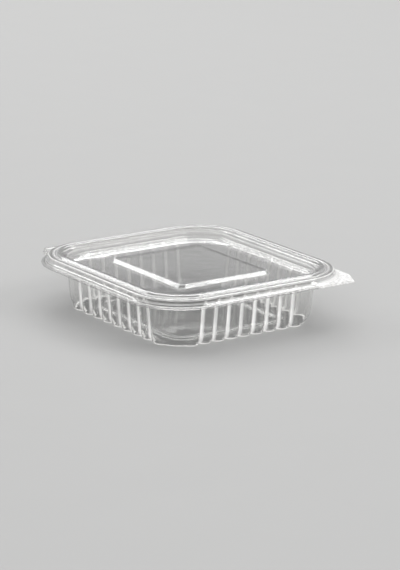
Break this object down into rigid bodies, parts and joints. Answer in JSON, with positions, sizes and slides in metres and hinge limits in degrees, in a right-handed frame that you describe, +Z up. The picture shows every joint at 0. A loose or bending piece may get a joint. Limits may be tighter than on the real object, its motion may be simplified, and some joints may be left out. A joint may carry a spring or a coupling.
{
  "type": "hinged food container",
  "caption": "Clear disposable food container formed from one sheet: fluted square well, stepped rim, flange with a corner tab, and a recessed lid with a plateau that turns on a living hinge.",
  "frame": {"origin": "on the surface that the container stands on, under the middle of the well", "axes": "+Z up, -Y towards the front edge that lifts, +Y towards the hinge, +X towards the side with the opening tab"},
  "size_m": [0.132, 0.1432, 0.0309],
  "materials": {
    "clear_base": "clear formed sheet, glossy",
    "clear_lid": "clear formed sheet, glossy"
  },
  "bodies": {
    "base": {"base": "clear_base"},
    "lid": {"lid": "clear_lid"}
  },
  "joints": [
    {"name": "lid_hinge", "type": "hinge", "parent": "base", "child": "lid", "pos_m": [0, 0.0724, 0.0257], "axis": [-1, 0, 0], "range_deg": [0, 180]}
  ]
}
